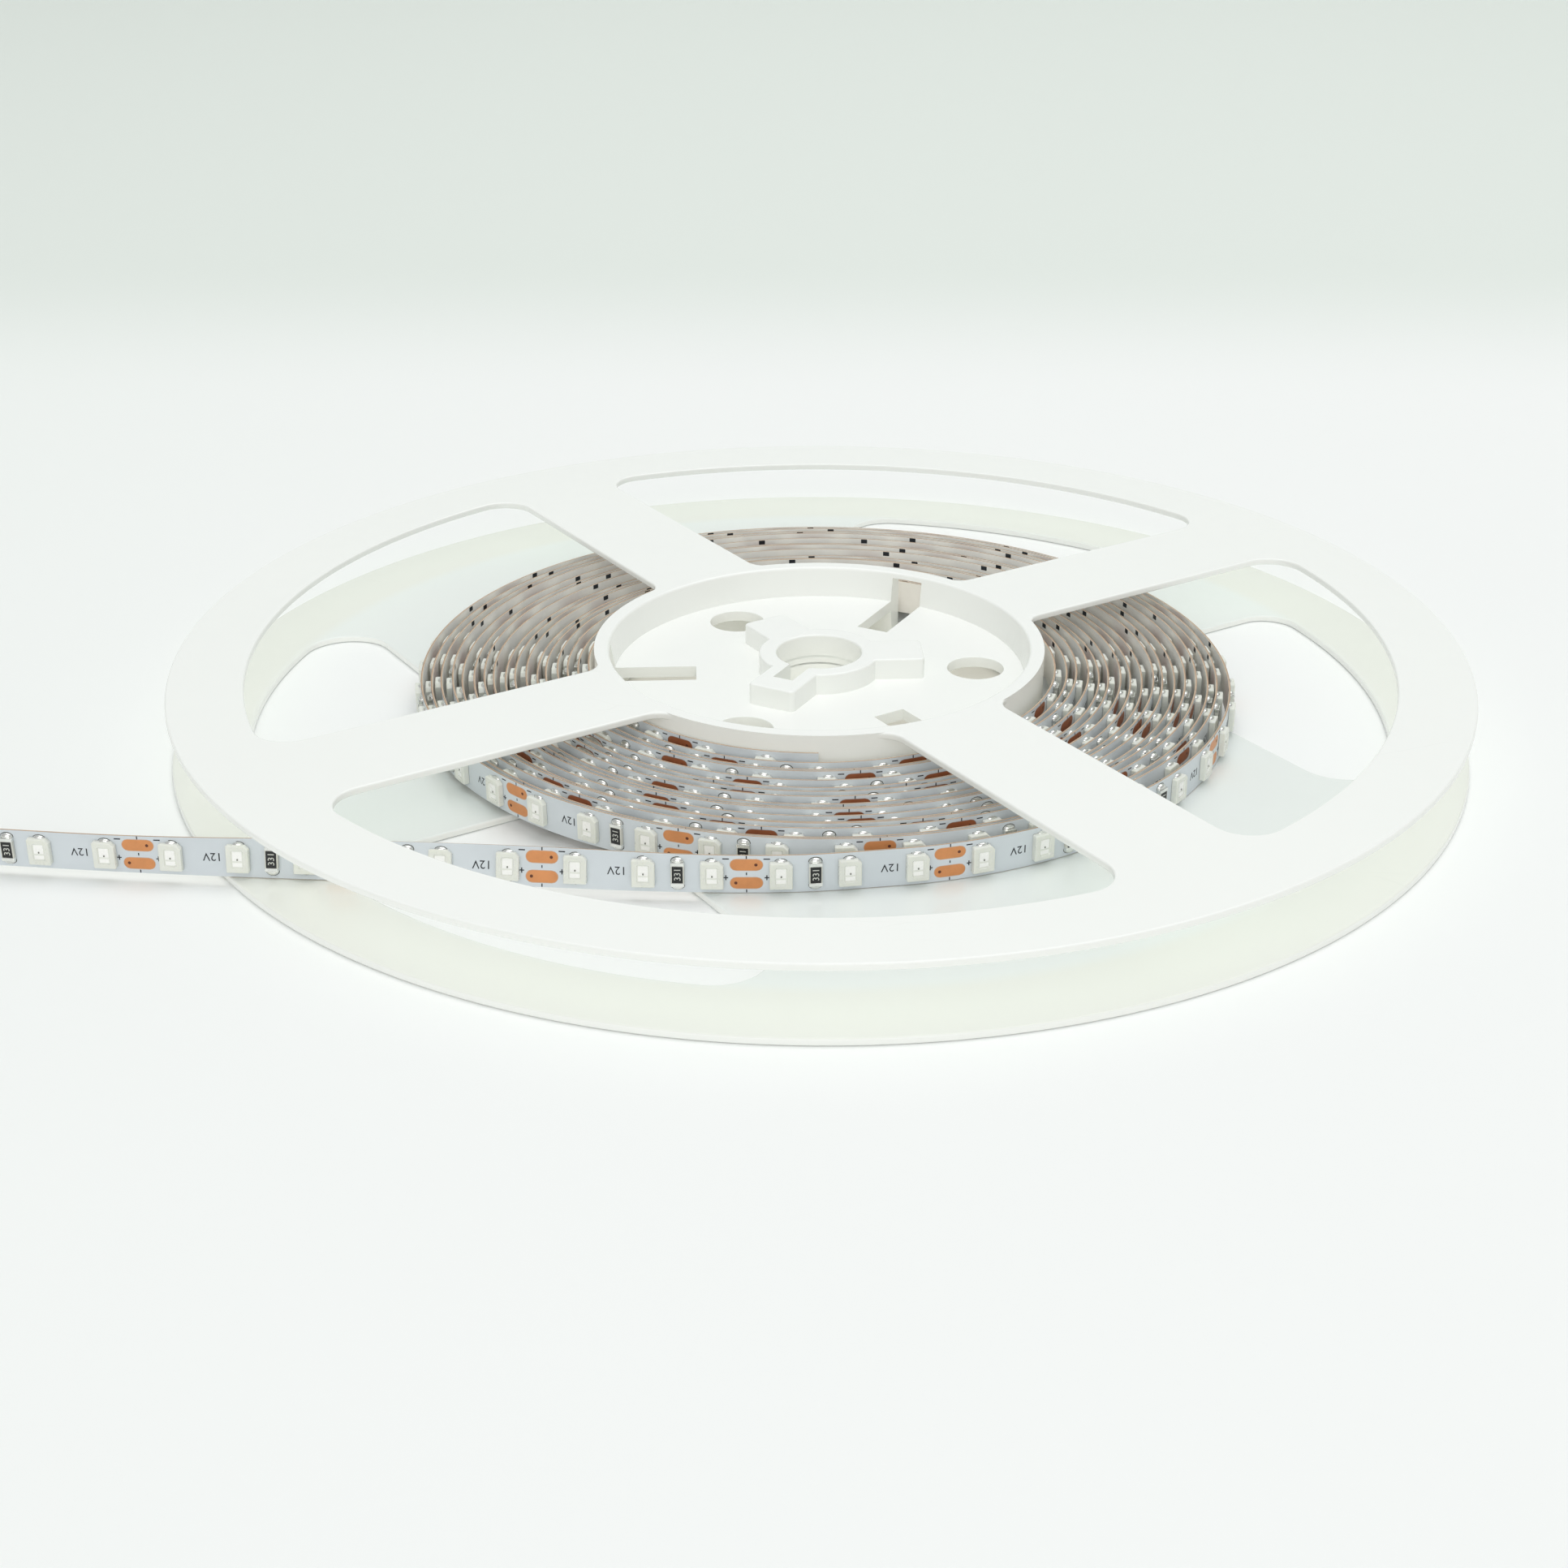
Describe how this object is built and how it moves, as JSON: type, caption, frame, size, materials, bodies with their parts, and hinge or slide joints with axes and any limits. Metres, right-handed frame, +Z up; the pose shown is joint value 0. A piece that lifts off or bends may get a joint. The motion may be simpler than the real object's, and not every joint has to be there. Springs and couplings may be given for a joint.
{
  "type": "led strip light reel",
  "caption": "Flat white plastic reel with windows and a spindle hub, wound with flexible LED tape whose free end leads out between the flanges.",
  "frame": {"origin": "middle of the underside of the whole outline, free end included; the reel's axis stands 9.19 mm from it along +X", "axes": "+Z up along the reel's axis, +X away from the free end, -Y towards the front where the free end leaves the coil"},
  "size_m": [0.1984, 0.18, 0.0104],
  "materials": {
    "reel_plastic": "milky white moulded plastic, satin gloss",
    "tape": "white lacquered flexible circuit with copper pads and black print",
    "led_housing": "ivory moulded lamp housing",
    "chip_resistor": "black glaze with tinned ends"
  },
  "bodies": {
    "root": {"upper_flange": "reel_plastic", "lower_flange": "reel_plastic", "led_tape": "tape", "led_01": "led_housing", "led_02": "led_housing", "led_03": "led_housing", "led_04": "led_housing", "led_05": "led_housing", "led_06": "led_housing", "led_07": "led_housing", "led_08": "led_housing", "led_09": "led_housing", "led_10": "led_housing", "led_11": "led_housing", "led_12": "led_housing", "led_13": "led_housing", "led_14": "led_housing", "led_15": "led_housing", "led_16": "led_housing", "led_17": "led_housing", "led_18": "led_housing", "led_19": "led_housing", "led_20": "led_housing", "led_21": "led_housing", "led_22": "led_housing", "led_23": "led_housing", "led_24": "led_housing", "led_25": "led_housing", "led_26": "led_housing", "led_27": "led_housing", "led_28": "led_housing", "led_29": "led_housing", "led_30": "led_housing", "led_31": "led_housing", "led_32": "led_housing", "led_33": "led_housing", "led_34": "led_housing", "led_35": "led_housing", "led_36": "led_housing", "led_37": "led_housing", "led_38": "led_housing", "led_39": "led_housing", "led_40": "led_housing", "led_41": "led_housing", "led_42": "led_housing", "resistor_01": "chip_resistor", "resistor_02": "chip_resistor", "resistor_03": "chip_resistor", "resistor_04": "chip_resistor", "resistor_05": "chip_resistor", "resistor_06": "chip_resistor", "resistor_07": "chip_resistor", "resistor_08": "chip_resistor", "resistor_09": "chip_resistor", "resistor_10": "chip_resistor", "resistor_11": "chip_resistor", "resistor_12": "chip_resistor", "resistor_13": "chip_resistor", "resistor_14": "chip_resistor"}
  },
  "joints": []
}
